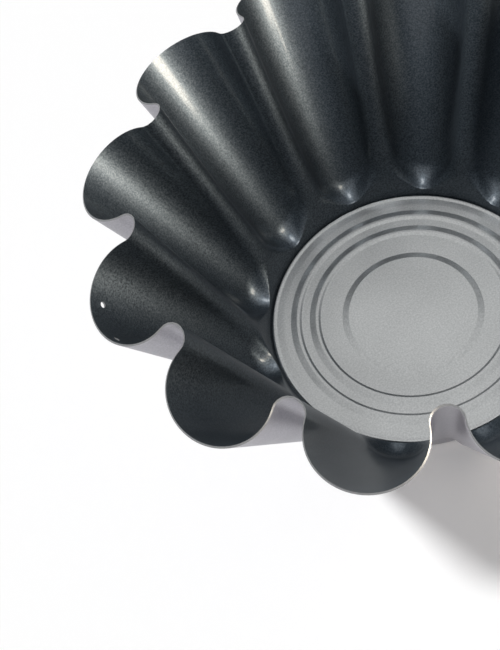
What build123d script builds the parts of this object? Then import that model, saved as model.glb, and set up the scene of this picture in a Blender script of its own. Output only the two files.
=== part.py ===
from build123d import *
from math import asin, atan, atan2, cos, degrees, hypot, pi, radians, sin, tan
import os

# Loose-bottomed fluted brioche mould, in millimetres.
# The origin is on the axis at the table, +Z is up, and one flute points along -X.
# The shell is one pressed sheet, and the loose base is a second one that rests on its ledge.

# driving sizes shared by both pieces
sheet = 0.6
seat_clearance = 0.3

# driving sizes of the loose base
base_radius = 50.0
base_height = 1.2
lip_width = 1.5
lip_rise = 0.2
lip_round_radius = 0.3
edge_slope_width = 2.5
edge_slope_drop = 0.15
outer_bead_inset = 9.15
inner_bead_inset = 15.95
bead_crest_width = 0.9
bead_inner_flank = 0.9
bead_outer_flank = 2.2
bead_height = 0.6
plateau_inset = 26.2
plateau_flank = 2.3
plateau_height = 0.6
press_radius = 0.6
outer_bead_radius = base_radius - outer_bead_inset
inner_bead_radius = base_radius - inner_bead_inset
plateau_radius = base_radius - plateau_inset

# driving sizes of the fluted shell, all taken on its inside face
flute_count = 12
band_radius = 51.3
flute_floor_height = 4.1
flute_foot_depth = 5.6
flute_foot_radius = 9.8
bowl_start_angle = radians(2)
crease_climb = 7.0
bowl_climb = 5.8
tip_radius = 99.5
tip_height = 78.0
tip_flute_radius = 16.65
ridge_radius = 79.1
ridge_height = 87.5
ledge_width = 6.0
bottom_corner_radius = 0.9

# driving sizes of the two hang holes
hole_diameter = 2.0
hole_height = 73.7
hole_spacing = 13.5
hole_cut_length = 4.0

# how the flute faces are sampled, and how often the rim is refined
points_across = 24
bowl_rows = 8
wall_rows = 44
face_tolerance_share = 0.03
rim_rounds = 12

# sheet thickness split into a plan offset and a drop, so that sloping walls stay one sheet thick
plan_offset_share = 0.65

# sizes worked out from the ones above
half_pitch = pi / flute_count
pitch_degrees = 360 / flute_count
ledge_top = sheet
base_top = ledge_top + base_height
cup_radius = base_radius + seat_clearance
ledge_radius = cup_radius - ledge_width
foot_tip_radius = band_radius + flute_foot_depth
valley_slope = (tip_radius - foot_tip_radius) / (tip_height - flute_floor_height)
ridge_slope = (ridge_radius - band_radius) / (ridge_height - flute_floor_height)
flare_slope = (tip_flute_radius - flute_foot_radius) / (tip_height - flute_floor_height)
rim_slope = (ridge_height - tip_height) / (tip_radius - ridge_radius)
wall_angle = pi / 2 - atan(valley_slope)
bowl_radius = flute_foot_depth * sin(wall_angle) / (1 - cos(wall_angle - bowl_start_angle))
grow = sheet * plan_offset_share


def tip_at(height):
    """Inside radius at the middle of a flute."""
    return foot_tip_radius + valley_slope * (height - flute_floor_height)


def ridge_at(height):
    """Inside radius on the ridge between two flutes."""
    return band_radius + ridge_slope * (height - flute_floor_height)


def flute_at(height):
    """Radius of the flute's own round channel."""
    return flute_foot_radius + flare_slope * (height - flute_floor_height)


def walk(start, heading, turn, length, step):
    """Point at a distance step along an arc of the given length and turn."""
    half_turn = turn * step / length / 2
    chord = step if half_turn == 0 else step * sin(half_turn) / half_turn
    bearing = heading + half_turn
    return start[0] + chord * cos(bearing), start[1] + chord * sin(bearing)


def half_flute(tip, ridge, flute, grow):
    """Plan points from a flute's middle to the ridge: the channel's arc, then the ridge's."""
    centre = tip - flute
    ridge_arc = flute * flute - centre * centre - ridge * ridge
    ridge_arc = ridge_arc + 2 * centre * ridge * cos(half_pitch)
    ridge_arc = ridge_arc / (2 * (ridge - centre * cos(half_pitch) - flute))
    side = 1 if flute + ridge_arc > 0 else -1
    across = (ridge + ridge_arc) * cos(half_pitch) - centre
    along = (ridge + ridge_arc) * sin(half_pitch)
    turn = atan2(side * along, side * across)
    radius = flute + grow
    joint = (centre + radius * cos(turn), radius * sin(turn))
    end = ((ridge + grow) * cos(half_pitch), (ridge + grow) * sin(half_pitch))
    back_turn = half_pitch - turn
    chord = hypot(end[0] - joint[0], end[1] - joint[1])
    arc_length = chord * (back_turn / 2) / sin(back_turn / 2)
    channel_length = radius * turn
    points = []
    for index in range(points_across + 1):
        step = (channel_length + arc_length) * index / points_across
        if step <= channel_length:
            points.append((centre + radius * cos(step / radius), radius * sin(step / radius)))
        else:
            past = step - channel_length
            points.append(walk(joint, pi / 2 + turn, back_turn, arc_length, past))
    return points


def flute_point(column, height, inset_share, grow, drop):
    """A point of the wall; column counts from a flute's middle, and an inset share of 1 is the plain cone."""
    inset = inset_share * (tip_at(height) - ridge_at(height))
    half = half_flute(tip_at(height) - inset, ridge_at(height), flute_at(height), grow)
    x, y = half[abs(column)]
    return x, (y if column > 0 else -y), height - drop


def rim_height(column):
    """Height of the cut rim at a column, found on the inside face."""
    height = ridge_height
    for _ in range(rim_rounds):
        x, y, _ = flute_point(column, height, 0, 0, 0)
        height = ridge_height + (ridge_radius - hypot(x, y)) * rim_slope
    return height


def flute_column(column, grow, drop):
    """Points up one column of a flute: the crease, the rounded bowl, then the straight wall."""
    climb_share = (1 - cos(pi * column / points_across)) / 2
    points = []
    for index in range(bowl_rows + 1):
        angle = bowl_start_angle + (wall_angle - bowl_start_angle) * index / bowl_rows
        rise = bowl_radius * (cos(bowl_start_angle) - cos(angle))
        reach = bowl_radius * (sin(angle) - sin(bowl_start_angle))
        valley = flute_floor_height + rise
        inset_share = (tip_at(valley) - band_radius - reach) / (tip_at(valley) - ridge_at(valley))
        ridge = flute_floor_height + crease_climb + bowl_climb * index / bowl_rows
        height = valley + (ridge - valley) * climb_share
        points.append(flute_point(column, height, inset_share, grow, drop))
    rim = rim_height(column)
    for index in range(1, wall_rows + 1):
        above = height + (rim - height) * index / wall_rows
        points.append(flute_point(column, above, 0, grow, drop))
    return points


def fluted_face(grow, drop):
    """One side of the wall over one flute, from the crease to the rim."""
    columns = [flute_column(column, grow, drop) for column in range(-points_across, points_across + 1)]
    rows = [list(row) for row in zip(*columns)]
    tolerance = sheet * face_tolerance_share
    return Face.make_surface_from_array_of_points(rows, tol=tolerance, min_deg=3, max_deg=5)


def ruled(first, second):
    """A straight-line face between two curves that run the same way."""
    return Face.make_surface_from_curves(first, second)


def level_arc(radius, height, edge):
    """Level arc over one flute, running the same way as an edge."""
    side = 1 if (edge @ 0).Y < (edge @ 1).Y else -1
    places = [side * half_pitch * share for share in (-1, 0, 1)]
    points = [Vector(radius * cos(angle), radius * sin(angle), height) for angle in places]
    return ThreePointArc(*points).edge()


def foot_faces():
    """The ledge, its inner edge, the underside and the rounded corner, over one flute."""
    outside = cup_radius + sheet
    lean = atan2(band_radius + grow - outside, flute_floor_height - sheet)
    turn = pi / 2 - lean
    setback = bottom_corner_radius * tan(turn / 2)
    centre = (outside - setback, bottom_corner_radius)
    middle = (centre[0] + bottom_corner_radius * sin(turn / 2), centre[1] - bottom_corner_radius * cos(turn / 2))
    top = (centre[0] + bottom_corner_radius * sin(turn), centre[1] - bottom_corner_radius * cos(turn))
    ledge = Line((cup_radius, 0, ledge_top), (ledge_radius, 0, ledge_top))
    inner_edge = Line((ledge_radius, 0, ledge_top), (ledge_radius, 0, 0))
    under = Line((ledge_radius, 0, 0), (centre[0], 0, 0))
    corner = ThreePointArc((centre[0], 0, 0), (middle[0], 0, middle[1]), (top[0], 0, top[1]))
    turned = Rot(0, 0, -pitch_degrees / 2)
    faces = []
    for line in (ledge, inner_edge, under, corner):
        faces.append(turned * Face.revolve(line.edge(), pitch_degrees, Axis.Z))
    return faces, top


def make_shell():
    """The pressed body: fluted wall, plain band round the base, and the ledge under it."""
    inside = fluted_face(0, 0)
    outside = fluted_face(grow, sheet)
    foot, corner_top = foot_faces()
    creases = [face.edges().sort_by(Axis.Z)[0] for face in (inside, outside)]
    rims = [face.edges().sort_by(Axis.Z)[-1] for face in (inside, outside)]
    faces = [inside, outside, ruled(rims[0], rims[1])]
    faces.append(ruled(creases[0], level_arc(cup_radius, ledge_top, creases[0])))
    faces.append(ruled(creases[1], level_arc(corner_top[0], corner_top[1], creases[1])))
    sector = faces + foot
    turns = [Rot(0, 0, pitch_degrees * number) for number in range(flute_count)]
    body = Solid(Shell([turn * face for turn in turns for face in sector]))
    for cutter in hang_holes():
        body = body - cutter
    return body


def hang_holes():
    """Two round cutters square to the wall, one on each side of the flute's middle."""
    flute = flute_at(hole_height)
    centre = tip_at(hole_height) - flute
    turn = asin(hole_spacing / 2 / flute)
    lean = degrees(atan(cos(turn) * (valley_slope - flare_slope) + flare_slope))
    cutters = []
    for side in (-1, 1):
        place = Vector(-centre - flute * cos(turn), side * flute * sin(turn), hole_height)
        outward = Pos(place) * Rot(0, 0, 180 - side * degrees(turn)) * Rot(0, 90 + lean, 0)
        cutters.append(outward * Cylinder(hole_diameter / 2, hole_cut_length))
    return cutters


def base_outline():
    """Upper side of the loose base from its centre to its lip, as radius and height."""
    points = [(0, base_top + plateau_height)]
    points.append((plateau_radius - plateau_flank / 2, base_top + plateau_height))
    points.append((plateau_radius + plateau_flank / 2, base_top))
    for radius in (inner_bead_radius, outer_bead_radius):
        crest_in = radius - bead_crest_width / 2
        crest_out = radius + bead_crest_width / 2
        points.append((crest_in - bead_inner_flank, base_top))
        points.append((crest_in, base_top + bead_height))
        points.append((crest_out, base_top + bead_height))
        points.append((crest_out + bead_outer_flank, base_top))
    gutter_radius = base_radius - lip_width
    gutter_height = base_top - edge_slope_drop
    points.append((gutter_radius - edge_slope_width, base_top))
    points.append((gutter_radius, gutter_height))
    points.append((base_radius - sheet, gutter_height + lip_rise))
    return points


def make_base():
    """The loose base: an embossed disc whose lip is turned down on to the ledge."""
    upper = base_outline()
    lower = [(radius, height - sheet) for radius, height in upper]
    lip_inside, lip_height = upper[-1]
    edge = [(base_radius, lip_height), (base_radius, ledge_top), (lip_inside, ledge_top)]
    section = make_face(Polyline(upper + edge + lower[::-1], close=True))
    bends = [corner for corner in section.vertices() if 0 < corner.X < base_radius - lip_width / 2]
    section = fillet(bends, press_radius)
    lip = section.vertices().sort_by(Axis.X)[-2:].sort_by(Axis.Y)[-1]
    return revolve(Plane.XZ * fillet(lip, lip_round_radius), Axis.Z)


shell = make_shell()
base = make_base()
os.makedirs("parts", exist_ok=True)
export_step(shell, "parts/fluted_shell.step")
export_step(base, "parts/loose_base.step")
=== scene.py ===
import math

import bmesh
import bpy
import numpy as np
from mathutils import Matrix, Vector


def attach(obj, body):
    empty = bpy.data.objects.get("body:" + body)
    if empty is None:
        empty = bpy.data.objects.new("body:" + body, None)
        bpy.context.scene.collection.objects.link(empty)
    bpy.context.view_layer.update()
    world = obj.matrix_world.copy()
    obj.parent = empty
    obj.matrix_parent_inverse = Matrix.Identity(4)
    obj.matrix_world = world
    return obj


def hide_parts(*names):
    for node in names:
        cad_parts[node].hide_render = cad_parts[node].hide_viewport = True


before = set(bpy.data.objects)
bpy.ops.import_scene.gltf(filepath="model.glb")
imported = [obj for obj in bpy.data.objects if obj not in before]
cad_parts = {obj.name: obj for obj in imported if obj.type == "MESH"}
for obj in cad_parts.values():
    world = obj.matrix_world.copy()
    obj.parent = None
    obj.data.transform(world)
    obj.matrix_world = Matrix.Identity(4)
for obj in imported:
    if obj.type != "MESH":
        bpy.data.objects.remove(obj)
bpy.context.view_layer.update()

# Lengths are in millimetres and the same as in the CAD source. Every mesh is written in metres.
MM = 0.001
SHEET = 0.6
FLUTES = 12
HALF_PITCH = math.pi / FLUTES

# The loose base: its edge, its two pressed rings and its raised middle
BASE_RADIUS = 50.0
BASE_TOP = 1.8
GUTTER_RADIUS = 48.5
LIP_RISE = 0.2
LIP_ROUND = 0.3
EDGE_SLOPE_WIDTH = 2.5
EDGE_SLOPE_DROP = 0.15
OUTER_BEAD = 40.85
INNER_BEAD = 34.05
BEAD_CREST = 0.9
BEAD_INNER_FLANK = 0.9
BEAD_OUTER_FLANK = 2.2
PLATEAU_RADIUS = 23.8
PLATEAU_FLANK = 2.3
PRESS_HEIGHT = 0.6
PRESS_RADIUS = 0.6

# The fluted shell: its ledge, the band round its foot, its bowls and its wall
LEDGE_TOP = 0.6
CUP_RADIUS = 50.3
LEDGE_RADIUS = 44.3
BAND_RADIUS = 51.3
FLOOR_HEIGHT = 4.1
FOOT_DEPTH = 5.6
FOOT_FLUTE = 9.8
BOWL_START = math.radians(2)
CREASE_CLIMB = 7.0
BOWL_CLIMB = 5.8
TIP_RADIUS = 99.5
TIP_HEIGHT = 78.0
TIP_FLUTE = 16.65
RIDGE_RADIUS = 79.1
RIDGE_HEIGHT = 87.5
CORNER_RADIUS = 0.9

# The hang holes
HOLE_DIAMETER = 2.0
HOLE_HEIGHT = 73.7
HOLE_SPACING = 13.5

# The outer skin is the inner one grown in plan by this much and lowered by the sheet's thickness.
# Together the two keep the wall close to that thickness at every slope.
PLAN_SHARE = 0.65
GROW = SHEET * PLAN_SHARE

# Slopes of the wall, as the change of a length for each millimetre of height, and the bowl's arc
FOOT_TIP = BAND_RADIUS + FOOT_DEPTH
VALLEY_SLOPE = (TIP_RADIUS - FOOT_TIP) / (TIP_HEIGHT - FLOOR_HEIGHT)
RIDGE_SLOPE = (RIDGE_RADIUS - BAND_RADIUS) / (RIDGE_HEIGHT - FLOOR_HEIGHT)
FLARE_SLOPE = (TIP_FLUTE - FOOT_FLUTE) / (TIP_HEIGHT - FLOOR_HEIGHT)
RIM_SLOPE = (RIDGE_HEIGHT - TIP_HEIGHT) / (TIP_RADIUS - RIDGE_RADIUS)
WALL_ANGLE = math.pi / 2 - math.atan(VALLEY_SLOPE)
BOWL_RADIUS = FOOT_DEPTH * math.sin(WALL_ANGLE) / (1 - math.cos(WALL_ANGLE - BOWL_START))

# How finely the meshes are divided. Columns run from the middle of a flute to its ridge.
COLUMNS = 24
BOWL_ROWS = 12
WALL_ROWS = 44
RIM_PASSES = 14
CORNER_STEPS = 6
BEND_STEPS = 5
HOLE_SEGMENTS = 40
CUTTER_DEPTH = 4
DISC_SEGMENTS = 288
DISC_STEP = 0.3
MIDDLE_RINGS = (1.5, 7, 14)
FLAT_RADIUS = 20
SHELL_CREASE = 35
DISC_CREASE = 40

# Where rows of the mesh lie near the crease and on the band, as shares of the way between two rows
CREASE_ABOVE = 0.35
CREASE_BELOW = 0.09
CREASE_EASE = 0.45
BAND_ROWS = (0.3, 0.55, 0.8, 1.0)
OUTER_BAND_ROWS = (0.25, 0.5, 0.75, 0.93)
OUTER_CREASE = 0.15

# Half the angle at a corner, in radians, from which the corner counts as straight
NEARLY_STRAIGHT = 1.55

# Grain of the finishes: noise scales are for each metre, and the depth of the grain is in metres
FLAKE_SCALE = 1700
FLAKE_DETAIL = 2
FLAKE_BREAKUP = 0.6
FLAKE_RANGE = (0.35, 0.7)
MOTTLE_SCALE = 45
MOTTLE_DETAIL = 3
MOTTLE_SHADES = (0.9, 1.1)
GRAIN_DEPTH = 0.00004
CLEAR_COAT_ROUGHNESS = 0.15
SPECULAR_TINT = (0.6, 0.6, 0.62, 1)
MARK_SCALE = 900
MARK_DETAIL = 4

# The stage, with its lengths in metres. Floor and world look brighter than the light they give.
FLOOR_SIZE = 6
FLOOR_DROP = 0.0002
FLOOR_GREY = 0.9
FLOOR_ROUGHNESS = 0.9
FLOOR_LIFT = 0.1
WORLD_LIGHT = 0.31
WORLD_SEEN = 1.0
CARD_DISTANCE = 1.2

# The camera that was fitted to the photograph: pixels, millimetres of sensor, metres and degrees
PHOTO_HEIGHT = 650
FOCAL_PIXELS = 1316.4
SENSOR = 36
NEAREST_SEEN = 0.01
EYE = (-0.0746, -0.2227, 0.4066)
AIM = (-0.05383, 0.02351, 0)
ROLL = 19.755


# The wall's form


def tip_at(height):
    """How far the middle of a flute is from the axis."""
    return FOOT_TIP + VALLEY_SLOPE * (height - FLOOR_HEIGHT)


def ridge_at(height):
    """How far a ridge is from the axis."""
    return BAND_RADIUS + RIDGE_SLOPE * (height - FLOOR_HEIGHT)


def flute_at(height):
    """Radius of a flute's own arc."""
    return FOOT_FLUTE + FLARE_SLOPE * (height - FLOOR_HEIGHT)


def half_flute(tip, ridge, flute, grow):
    """Plan points from the middle of a flute to the ridge, evenly spaced along its two arcs."""
    centre = tip - flute
    arc = flute**2 - centre**2 - ridge**2 + 2 * centre * ridge * math.cos(HALF_PITCH)
    arc = arc / (2 * (ridge - centre * math.cos(HALF_PITCH) - flute))
    side = 1 if flute + arc > 0 else -1
    across = (ridge + arc) * math.cos(HALF_PITCH) - centre
    turn = math.atan2(side * (ridge + arc) * math.sin(HALF_PITCH), side * across)
    radius = flute + grow
    joint_x, joint_y = centre + radius * math.cos(turn), radius * math.sin(turn)
    end_x, end_y = (ridge + grow) * math.cos(HALF_PITCH), (ridge + grow) * math.sin(HALF_PITCH)
    back = HALF_PITCH - turn
    chord = math.hypot(end_x - joint_x, end_y - joint_y)
    length = chord * (back / 2) / math.sin(back / 2)
    channel = radius * turn
    steps = (channel + length) * np.arange(COLUMNS + 1) / COLUMNS
    angle = np.minimum(steps, channel) / radius
    past = np.maximum(steps - channel, 0)
    half_turn = back * past / length / 2
    reach = past * np.sinc(half_turn / math.pi)
    bearing = math.pi / 2 + turn + half_turn
    beyond = steps > channel
    x = np.where(beyond, joint_x + reach * np.cos(bearing), centre + radius * np.cos(angle))
    y = np.where(beyond, joint_y + reach * np.sin(bearing), radius * np.sin(angle))
    return x, y


def flute_point(column, height, inset_share, grow, drop):
    """One point of the wall, drawn in by a share of the flute's depth at that height."""
    inset = inset_share * (tip_at(height) - ridge_at(height))
    x, y = half_flute(tip_at(height) - inset, ridge_at(height), flute_at(height), grow)
    return x[abs(column)], y[abs(column)] if column > 0 else -y[abs(column)], height - drop


def flute_column(column, grow, drop):
    """Points up one column: the crease, the rounded bowl, then the straight wall to the rim."""
    share = (1 - math.cos(math.pi * column / COLUMNS)) / 2
    points = []
    for index in range(BOWL_ROWS + 1):
        angle = BOWL_START + (WALL_ANGLE - BOWL_START) * index / BOWL_ROWS
        valley = FLOOR_HEIGHT + BOWL_RADIUS * (math.cos(BOWL_START) - math.cos(angle))
        reach = BOWL_RADIUS * (math.sin(angle) - math.sin(BOWL_START))
        inset = (tip_at(valley) - BAND_RADIUS - reach) / (tip_at(valley) - ridge_at(valley))
        ridge = FLOOR_HEIGHT + CREASE_CLIMB + BOWL_CLIMB * index / BOWL_ROWS
        height = valley + (ridge - valley) * share
        points.append(flute_point(column, height, inset, grow, drop))
    bowl_top, rim = height, RIDGE_HEIGHT
    for _ in range(RIM_PASSES):
        x, y, _z = flute_point(column, rim, 0, 0, 0)
        rim = RIDGE_HEIGHT + (RIDGE_RADIUS - math.hypot(x, y)) * RIM_SLOPE
    for index in range(1, WALL_ROWS + 1):
        height = bowl_top + (rim - bowl_top) * index / WALL_ROWS
        points.append(flute_point(column, height, 0, grow, drop))
    return points


def turned(points, angle):
    """Points turned about the mould's axis."""
    x = points[..., 0] * math.cos(angle) - points[..., 1] * math.sin(angle)
    y = points[..., 0] * math.sin(angle) + points[..., 1] * math.cos(angle)
    return np.stack([x, y, points[..., 2]], axis=-1)


def wall_skin(grow, drop):
    """One side of the wall as columns all round, each from the crease to the rim."""
    flute = np.array([flute_column(c, grow, drop) for c in range(-COLUMNS, COLUMNS)])
    return np.concatenate([turned(flute, 2 * math.pi * k / FLUTES) for k in range(FLUTES)])


# Meshes


def mesh_object(name, verts, faces, slots, materials):
    """A smooth object in the scene, with one material slot number for each face."""
    mesh = bpy.data.meshes.new(name)
    mesh.from_pydata([tuple(v) for v in verts], [], faces)
    for material in materials:
        mesh.materials.append(material)
    mesh.polygons.foreach_set("material_index", slots)
    mesh.polygons.foreach_set("use_smooth", [True] * len(faces))
    mesh.update()
    obj = bpy.data.objects.new(name, mesh)
    bpy.context.scene.collection.objects.link(obj)
    return obj


def sharpen(obj, degrees):
    """Marks edges sharper than an angle, so that creases stay crisp under smooth shading."""
    bm = bmesh.new()
    bm.from_mesh(obj.data)
    for edge in bm.edges:
        if len(edge.link_faces) == 2 and edge.calc_face_angle(0) > math.radians(degrees):
            edge.smooth = False
    bm.to_mesh(obj.data)
    bm.free()
    obj.data.update()


# Materials


def new_material(name):
    """A new material, with its nodes, its links and its shader."""
    material = bpy.data.materials.new(name)
    material.use_nodes = True
    nodes = material.node_tree.nodes
    return material, nodes, material.node_tree.links, nodes["Principled BSDF"]


def noise(nodes, links, coords, scale, detail):
    """Noise that is fixed to the object."""
    node = nodes.new("ShaderNodeTexNoise")
    node.inputs["Scale"].default_value = scale
    node.inputs["Detail"].default_value = detail
    links.new(coords.outputs["Object"], node.inputs["Vector"])
    return node


def mapped(nodes, links, value, given, wanted):
    """A value carried over from one range to another."""
    node = nodes.new("ShaderNodeMapRange")
    node.inputs["From Min"].default_value = given[0]
    node.inputs["From Max"].default_value = given[1]
    node.inputs["To Min"].default_value = wanted[0]
    node.inputs["To Max"].default_value = wanted[1]
    links.new(value, node.inputs["Value"])
    return node.outputs["Result"]


def tinted(nodes, links, value, dark, light):
    """A colour between two others."""
    node = nodes.new("ShaderNodeMix")
    node.data_type = "RGBA"
    node.inputs["A"].default_value = (*dark, 1)
    node.inputs["B"].default_value = (*light, 1)
    links.new(value, node.inputs["Factor"])
    return node.outputs["Result"]


def coat_material(name, dark, light, metallic, roughness, grain_share, bump, gloss=0):
    """Non-stick coating: metallic flakes, soft mottling, orange peel and a thin glossy layer."""
    material, nodes, links, shader = new_material(name)
    coords = nodes.new("ShaderNodeTexCoord")
    flakes = noise(nodes, links, coords, FLAKE_SCALE, FLAKE_DETAIL)
    flakes.inputs["Roughness"].default_value = FLAKE_BREAKUP
    grain = flakes.outputs["Fac"]
    mottle = noise(nodes, links, coords, MOTTLE_SCALE, MOTTLE_DETAIL).outputs["Fac"]
    flake_share = mapped(nodes, links, grain, FLAKE_RANGE, (0, 1))
    shade = nodes.new("ShaderNodeMix")
    shade.data_type = "RGBA"
    shade.blend_type = "MULTIPLY"
    shade.inputs["Factor"].default_value = 1.0
    links.new(tinted(nodes, links, flake_share, dark, light), shade.inputs["A"])
    links.new(mapped(nodes, links, mottle, (0, 1), MOTTLE_SHADES), shade.inputs["B"])
    links.new(shade.outputs["Result"], shader.inputs["Base Color"])
    ends = (roughness - grain_share, roughness + grain_share)
    links.new(mapped(nodes, links, grain, (0, 1), ends), shader.inputs["Roughness"])
    relief = nodes.new("ShaderNodeBump")
    relief.inputs["Strength"].default_value = bump
    relief.inputs["Distance"].default_value = GRAIN_DEPTH
    links.new(grain, relief.inputs["Height"])
    links.new(relief.outputs["Normal"], shader.inputs["Normal"])
    shader.inputs["Metallic"].default_value = metallic
    shader.inputs["Coat Weight"].default_value = gloss
    shader.inputs["Coat Roughness"].default_value = CLEAR_COAT_ROUGHNESS
    shader.inputs["Specular Tint"].default_value = SPECULAR_TINT
    return material


def edge_material(name, dark, light, metallic, roughness):
    """Bare sheared steel along the rim, in the holes and under the base's lip, with shear marks."""
    material, nodes, links, shader = new_material(name)
    coords = nodes.new("ShaderNodeTexCoord")
    marks = noise(nodes, links, coords, MARK_SCALE, MARK_DETAIL).outputs["Fac"]
    links.new(tinted(nodes, links, marks, dark, light), shader.inputs["Base Color"])
    shader.inputs["Metallic"].default_value = metallic
    shader.inputs["Roughness"].default_value = roughness
    return material


inner_coat = coat_material(
    "dark_coat", dark=(0.044, 0.056, 0.069), light=(0.108, 0.13, 0.151),
    metallic=0.78, roughness=0.43, grain_share=0.1, bump=1.0, gloss=0.35)
outer_coat = coat_material(
    "outer_coat", dark=(0.4, 0.395, 0.425), light=(0.52, 0.51, 0.545),
    metallic=0.55, roughness=0.4, grain_share=0.05, bump=0.15)
disc_coat = coat_material(
    "disc_coat", dark=(0.388, 0.398, 0.4), light=(0.52, 0.531, 0.53),
    metallic=0.85, roughness=0.33, grain_share=0.05, bump=0.5)
bare_edge = edge_material(
    "bare_edge", dark=(0.17, 0.175, 0.18), light=(0.31, 0.315, 0.32),
    metallic=0.7, roughness=0.5)


# The fluted shell


def blend(first, second, share):
    """A row of points part of the way from one row to another."""
    return first + (second - first) * share


def ring(angles, radius, height):
    """A level circle of points."""
    x, y = radius * np.cos(angles), radius * np.sin(angles)
    return np.stack([x, y, np.full(len(angles), height)], axis=-1)


def inner_rows(inner, angles):
    """Rows of the inside: down the wall, round the small bend of the crease and over the ledge."""
    crease, above = inner[:, 0], inner[:, 1]
    cup = ring(angles, CUP_RADIUS, LEDGE_TOP)
    rows = [inner[:, i] for i in range(inner.shape[1] - 1, 0, -1)]
    before, after = blend(crease, above, CREASE_ABOVE), blend(crease, cup, CREASE_BELOW)
    rows += [before, blend(crease, (before + after) / 2, CREASE_EASE), after]
    rows += [blend(crease, cup, share) for share in BAND_ROWS]
    rows += [ring(angles, (CUP_RADIUS + LEDGE_RADIUS) / 2, LEDGE_TOP)]
    rows += [ring(angles, LEDGE_RADIUS, LEDGE_TOP)]
    return rows


def outer_rows(outer, angles):
    """Rows of the outside: from the ledge round the bottom corner, up the band and to the rim."""
    bottom = CUP_RADIUS + SHEET
    lean = math.atan2(BAND_RADIUS + GROW - bottom, FLOOR_HEIGHT - SHEET)
    setback = CORNER_RADIUS * math.tan((math.pi / 2 - lean) / 2)
    rows = [ring(angles, LEDGE_RADIUS, 0)]
    for step in range(CORNER_STEPS + 1):
        turn = (math.pi / 2 - lean) * step / CORNER_STEPS
        radius = bottom - setback + CORNER_RADIUS * math.sin(turn)
        rows.append(ring(angles, radius, CORNER_RADIUS * (1 - math.cos(turn))))
    corner_top, crease = rows[-1], outer[:, 0]
    rows += [blend(corner_top, crease, share) for share in OUTER_BAND_ROWS]
    rows += [blend(crease, outer[:, 1], OUTER_CREASE)]
    rows += [outer[:, i] for i in range(1, outer.shape[1])]
    return rows


def make_shell():
    """The shell as one closed mesh, coated inside and outside and bare along the rim."""
    inner = wall_skin(0, 0)
    outer = wall_skin(GROW, SHEET)
    angles = np.arctan2(inner[:, 0, 1], inner[:, 0, 0])
    inside = inner_rows(inner, angles)
    rows = inside + outer_rows(outer, angles)
    inside_slot, outside_slot, rim_slot = 0, 1, 2
    count = len(angles)
    faces, slots = [], []
    for i in range(len(rows)):
        j = (i + 1) % len(rows)
        slot = inside_slot if i < len(inside) - 1 else outside_slot
        for k in range(count):
            n = (k + 1) % count
            faces.append((i * count + k, i * count + n, j * count + n, j * count + k))
            slots.append(rim_slot if j == 0 else slot)
    verts = np.concatenate(rows) * MM
    return mesh_object("shell_body", verts, faces, slots, [inner_coat, outer_coat, bare_edge])


def hole_places():
    """Middle and outward direction of the two hang holes."""
    flute = flute_at(HOLE_HEIGHT)
    centre = tip_at(HOLE_HEIGHT) - flute
    turn = math.asin(HOLE_SPACING / 2 / flute)
    lean = math.atan(math.cos(turn) * (VALLEY_SLOPE - FLARE_SLOPE) + FLARE_SLOPE)
    for side in (-1, 1):
        x, y = -centre - flute * math.cos(turn), side * flute * math.sin(turn)
        out_x, out_y = -math.cos(turn) * math.cos(lean), side * math.sin(turn) * math.cos(lean)
        yield Vector((x, y, HOLE_HEIGHT)) * MM, Vector((out_x, out_y, -math.sin(lean)))


def cut_holes(shell):
    """Cuts the hang holes through the wall, with bare steel on their sides."""
    radius = HOLE_DIAMETER / 2 * MM
    for middle, outward in hole_places():
        bm = bmesh.new()
        bmesh.ops.create_cone(
            bm, cap_ends=True, segments=HOLE_SEGMENTS,
            radius1=radius, radius2=radius, depth=CUTTER_DEPTH * MM)
        mesh = bpy.data.meshes.new("cutter")
        bm.to_mesh(mesh)
        bm.free()
        mesh.materials.append(bare_edge)
        cutter = bpy.data.objects.new("cutter", mesh)
        upright = outward.to_track_quat("Z", "Y").to_matrix().to_4x4()
        cutter.matrix_world = Matrix.Translation(middle) @ upright
        bpy.context.scene.collection.objects.link(cutter)
        cut = shell.modifiers.new("hole", "BOOLEAN")
        cut.operation = "DIFFERENCE"
        cut.solver = "EXACT"
        cut.material_mode = "TRANSFER"
        cut.object = cutter
        bpy.context.view_layer.update()
        evaluated = shell.evaluated_get(bpy.context.evaluated_depsgraph_get())
        done = bpy.data.meshes.new_from_object(evaluated)
        shell.modifiers.clear()
        shell.data = done
        bpy.data.objects.remove(cutter)


shell = make_shell()
cut_holes(shell)
sharpen(shell, SHELL_CREASE)
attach(shell, "shell")
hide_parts("fluted_shell")


# The loose base


def rounded(points, radii):
    """A polyline whose corners are turned into arcs, as the press leaves them."""
    points = [np.array(point, float) for point in points]
    out = [points[0]]
    for before, corner, after, radius in zip(points, points[1:], points[2:], radii):
        back, ahead = before - corner, after - corner
        back, ahead = back / np.linalg.norm(back), ahead / np.linalg.norm(ahead)
        half = math.acos(np.clip(back @ ahead, -1, 1)) / 2
        if radius == 0 or half > NEARLY_STRAIGHT:
            out.append(corner)
            continue
        inward = (back + ahead) / np.linalg.norm(back + ahead)
        middle = corner + inward * radius / math.sin(half)
        start = corner + back * radius / math.tan(half) - middle
        end = corner + ahead * radius / math.tan(half) - middle
        sweep = math.pi - 2 * half
        for step in range(BEND_STEPS + 1):
            turn = sweep * step / BEND_STEPS
            arm = start * math.sin(sweep - turn) + end * math.sin(turn)
            out.append(middle + arm / math.sin(sweep))
    out.append(points[-1])
    return out


def spaced(points, step):
    """Extra points along long straight stretches, so that smooth shading stays local."""
    out = [points[0]]
    for first, last in zip(points, points[1:]):
        count = max(1, math.ceil(np.linalg.norm(last - first) / step))
        out += [first + (last - first) * i / count for i in range(1, count + 1)]
    return out


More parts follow.
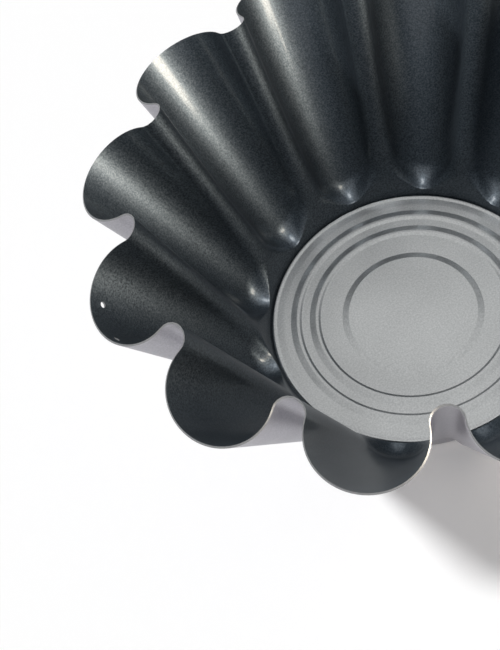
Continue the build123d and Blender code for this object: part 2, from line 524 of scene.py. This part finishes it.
def base_profile():
    """Section of the pressed disc, as radius and height: upper side, lip, then under side."""
    raised = BASE_TOP + PRESS_HEIGHT
    upper = [(PLATEAU_RADIUS - PLATEAU_FLANK / 2, raised)]
    upper += [(PLATEAU_RADIUS + PLATEAU_FLANK / 2, BASE_TOP)]
    for bead in (INNER_BEAD, OUTER_BEAD):
        first, last = bead - BEAD_CREST / 2, bead + BEAD_CREST / 2
        upper += [(first - BEAD_INNER_FLANK, BASE_TOP), (first, raised)]
        upper += [(last, raised), (last + BEAD_OUTER_FLANK, BASE_TOP)]
    gutter = BASE_TOP - EDGE_SLOPE_DROP
    upper += [(GUTTER_RADIUS - EDGE_SLOPE_WIDTH, BASE_TOP), (GUTTER_RADIUS, gutter)]
    under = [(radius, height - SHEET) for radius, height in reversed(upper)]
    top, inside = gutter + LIP_RISE, BASE_RADIUS - SHEET
    lip = [(inside, top), (BASE_RADIUS, top), (BASE_RADIUS, LEDGE_TOP)]
    lip += [(inside, LEDGE_TOP), (inside, top - SHEET)]
    lip_radii = [0, LIP_ROUND, 0, 0, 0]
    points = [(FLAT_RADIUS, raised)] + upper + lip + under + [(FLAT_RADIUS, raised - SHEET)]
    radii = [PRESS_RADIUS] * len(upper) + lip_radii + [PRESS_RADIUS] * len(under)
    return spaced(rounded(points, radii), DISC_STEP)


def make_base():
    """The base's section turned about the axis, bare where its lip stands on the ledge."""
    profile = base_profile()
    top, bottom = profile[0][1], profile[-1][1]
    middle = [np.array([radius, top]) for radius in MIDDLE_RINGS]
    under = [np.array([radius, bottom]) for radius in reversed(MIDDLE_RINGS)]
    profile = middle + profile + under
    coat_slot, edge_slot = 0, 1
    count = DISC_SEGMENTS
    angles = 2 * math.pi * np.arange(count) / count
    verts = []
    for radius, height in profile:
        circle = [(radius * math.cos(a) * MM, radius * math.sin(a) * MM) for a in angles]
        verts += [(x, y, height * MM) for x, y in circle]
    faces, slots = [], []
    for i in range(len(profile) - 1):
        j = i + 1
        slot = edge_slot if profile[i][1] == profile[j][1] == LEDGE_TOP else coat_slot
        for k in range(count):
            n = (k + 1) % count
            faces.append((i * count + k, j * count + k, j * count + n, i * count + n))
            slots.append(slot)
    last = (len(profile) - 1) * count
    for start, height, order in ((0, top, 1), (last, bottom, -1)):
        verts.append((0, 0, height * MM))
        for k in range(count):
            faces.append((len(verts) - 1, start + k, start + (k + 1) % count)[::order])
            slots.append(coat_slot)
    return mesh_object("base_disc", verts, faces, slots, [disc_coat, bare_edge])


base = make_base()
sharpen(base, DISC_CREASE)
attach(base, "base")
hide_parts("loose_base")


# Floor, light and camera


def seen_rays(nodes, links):
    """One for camera, glossy and transmission rays, and nothing for the rays that carry light."""
    path = nodes.new("ShaderNodeLightPath")
    seen = path.outputs["Is Camera Ray"]
    for kind in ("Is Glossy Ray", "Is Transmission Ray"):
        either = nodes.new("ShaderNodeMath")
        either.operation = "MAXIMUM"
        links.new(seen, either.inputs[0])
        links.new(path.outputs[kind], either.inputs[1])
        seen = either.outputs[0]
    return seen


def make_floor():
    """A pale floor just under the mould, which keeps its shadow."""
    material, nodes, links, shader = new_material("pale_floor")
    shader.inputs["Base Color"].default_value = (FLOOR_GREY, FLOOR_GREY, FLOOR_GREY, 1)
    shader.inputs["Roughness"].default_value = FLOOR_ROUGHNESS
    shader.inputs["Emission Color"].default_value = (1, 1, 1, 1)
    lift = nodes.new("ShaderNodeMath")
    lift.operation = "MULTIPLY"
    lift.inputs[1].default_value = FLOOR_LIFT
    links.new(seen_rays(nodes, links), lift.inputs[0])
    links.new(lift.outputs[0], shader.inputs["Emission Strength"])
    bm = bmesh.new()
    bmesh.ops.create_grid(bm, x_segments=2, y_segments=2, size=FLOOR_SIZE)
    mesh = bpy.data.meshes.new("floor")
    bm.to_mesh(mesh)
    bm.free()
    mesh.materials.append(material)
    floor = bpy.data.objects.new("floor", mesh)
    floor.location.z = -FLOOR_DROP
    bpy.context.scene.collection.objects.link(floor)


def make_world():
    """A pale surrounding that looks white and gives less light than that."""
    world = bpy.data.worlds.new("studio")
    world.use_nodes = True
    nodes, links = world.node_tree.nodes, world.node_tree.links
    background = nodes["Background"]
    level = mapped(nodes, links, seen_rays(nodes, links), (0, 1), (WORLD_LIGHT, WORLD_SEEN))
    links.new(level, background.inputs["Strength"])
    background.inputs["Color"].default_value = (1, 1, 1, 1)
    bpy.context.scene.world = world


def place_lamp(light, azimuth, elevation, distance):
    """A lamp that shines at the origin, from a direction in degrees and a distance in metres."""
    lamp = bpy.data.objects.new(light.name, light)
    a, e = math.radians(azimuth), math.radians(elevation)
    direction = Vector((math.cos(a) * math.cos(e), math.sin(a) * math.cos(e), math.sin(e)))
    lamp.location = direction * distance
    lamp.rotation_euler = direction.to_track_quat("Z", "Y").to_euler()
    bpy.context.scene.collection.objects.link(lamp)
    return lamp


def sun(name, azimuth, elevation, strength, angle):
    """Soft sunlight that gives the shadow and leaves no glare in gloss."""
    light = bpy.data.lights.new(name, "SUN")
    light.energy = strength
    light.angle = math.radians(angle)
    lamp = place_lamp(light, azimuth, elevation, 1)
    lamp.visible_glossy = False


def card(name, azimuth, elevation, width, height, power, color, lit):
    """A soft rectangle of light that shows in gloss alone, and only on what is in lit."""
    light = bpy.data.lights.new(name, "AREA")
    light.shape = "RECTANGLE"
    light.size = width
    light.size_y = height
    light.energy = power
    light.color = color
    lamp = place_lamp(light, azimuth, elevation, CARD_DISTANCE)
    lamp.visible_diffuse = False
    lamp.light_linking.receiver_collection = lit


def make_camera():
    """The photograph's viewing angle, rolled about the line of sight."""
    camera = bpy.data.cameras.new("camera")
    camera.sensor_width = SENSOR
    camera.lens = FOCAL_PIXELS * SENSOR / PHOTO_HEIGHT
    camera.clip_start = NEAREST_SEEN
    obj = bpy.data.objects.new("camera", camera)
    eye = Vector(EYE)
    forward = (Vector(AIM) - eye).normalized()
    right = forward.cross(Vector((0, 0, 1))).normalized()
    up = right.cross(forward)
    roll = math.radians(ROLL)
    tilted_up = up * math.cos(roll) + right * math.sin(roll)
    tilted_right = right * math.cos(roll) - up * math.sin(roll)
    rotation = Matrix((tilted_right, tilted_up, -forward)).transposed()
    obj.matrix_world = Matrix.Translation(eye) @ rotation.to_4x4()
    bpy.context.scene.collection.objects.link(obj)
    bpy.context.scene.camera = obj


make_floor()
make_world()
lit_by_cards = bpy.data.collections.new("lit_by_cards")
lit_by_cards.objects.link(shell)
sun("key_light", azimuth=145.0, elevation=45, strength=3.05, angle=7)
card(
    "front_strip", azimuth=-46, elevation=22, width=0.42, height=0.62,
    power=30.0, color=(1.0, 0.88, 0.72), lit=lit_by_cards)
card(
    "top_box", azimuth=-32, elevation=83, width=0.4, height=0.4,
    power=6.5, color=(1.0, 0.98, 0.95), lit=lit_by_cards)
make_camera()
bpy.context.scene.view_settings.view_transform = "Standard"
